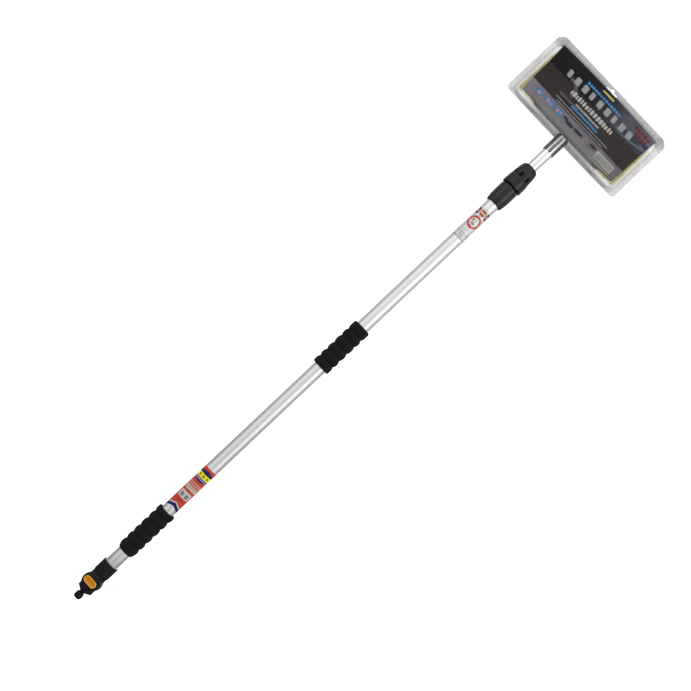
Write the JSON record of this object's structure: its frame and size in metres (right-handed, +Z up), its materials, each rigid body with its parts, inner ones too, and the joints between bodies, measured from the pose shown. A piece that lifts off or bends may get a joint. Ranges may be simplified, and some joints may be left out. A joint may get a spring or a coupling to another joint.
{
  "type": "telescopic flow-through wash brush",
  "caption": "Telescopic two-section aluminium pole with a twist lock, foam grips and a hose valve, carrying a wide bristle head in a stapled clear pack.",
  "frame": {"origin": "centre of the bounding box in plan, at the flat floor of the pack's back dome", "axes": "+X along the pole from the hose end to the head, +Z up through the card side of the pack, +Y across the pole"},
  "size_m": [1.425, 0.3, 0.1012],
  "materials": {
    "outer_aluminium": "drawn tube, satin clear anodised, fine lengthwise lines",
    "inner_aluminium": "drawn tube, bright satin",
    "black_plastic": "injection moulded, fine spark texture, soft sheen",
    "grey_plastic": "injection moulded charcoal plastic",
    "orange_plastic": "moulded orange plastic, slightly scuffed",
    "cream_plastic": "natural plastic bush",
    "foam": "closed-cell foam with an open pored skin",
    "seal_rubber": "black nitrile rubber",
    "nylon": "natural nylon",
    "brass": "turned",
    "lower_label": "printed red, white, navy and yellow film",
    "upper_label": "clear film printed grey, black and red",
    "bristle": "fine yellow flagged bristle",
    "clear_sheet": "clear formed sheet, slightly scuffed",
    "card": "folded card, gloss printed, dark",
    "steel_wire": "staple wire"
  },
  "bodies": {
    "outer_pole": {"hose_nipple": "black_plastic", "nipple_o_ring": "seal_rubber", "valve_body": "black_plastic", "ball_seat_near": "nylon", "ball_seat_far": "nylon", "spigot_o_ring": "seal_rubber", "outer_tube": "outer_aluminium", "end_sleeve": "black_plastic", "sleeve_bush": "cream_plastic", "lower_grip": "foam", "mid_grip": "foam", "lower_label": "lower_label", "upper_label": "upper_label", "collar_body": "grey_plastic", "collar_seal": "seal_rubber", "collet": "nylon"},
    "valve_turn": {"valve_knob": "orange_plastic", "valve_ball": "brass", "stem_o_ring": "seal_rubber"},
    "lock_nut": {"twist_nut": "grey_plastic"},
    "guide": {"guide_piston": "nylon", "piston_o_ring_1": "seal_rubber", "piston_o_ring_2": "seal_rubber"},
    "inner_pole": {"inner_tube": "inner_aluminium", "head_spigot": "black_plastic", "spigot_seal": "seal_rubber", "brush_block": "black_plastic", "bristle_plate": "black_plastic", "bristle_field": "bristle", "insert_card": "card", "pack_front": "clear_sheet", "pack_back": "clear_sheet", "staple_left_side": "steel_wire", "staple_right_side": "steel_wire", "staple_far_left": "steel_wire", "staple_far_right": "steel_wire", "staple_near_left": "steel_wire", "staple_near_right": "steel_wire"}
  },
  "joints": [
    {"name": "pole_slide", "type": "slide", "parent": "outer_pole", "child": "guide", "axis": [1, 0, 0], "range_m": [0, 0.85]},
    {"name": "pole_spin", "type": "hinge", "parent": "guide", "child": "inner_pole", "pos_m": [0.5475, 0, 0.061], "axis": [1, 0, 0], "continuous": true},
    {"name": "twist_lock", "type": "hinge", "parent": "outer_pole", "child": "lock_nut", "pos_m": [0.4575, 0, 0.061], "axis": [1, 0, 0], "range_deg": [0, 120]},
    {"name": "valve_quarter_turn", "type": "hinge", "parent": "outer_pole", "child": "valve_turn", "pos_m": [-0.6685, 0, 0.061], "axis": [0, 0.1564, 0.9877], "range_deg": [0, 90]}
  ]
}
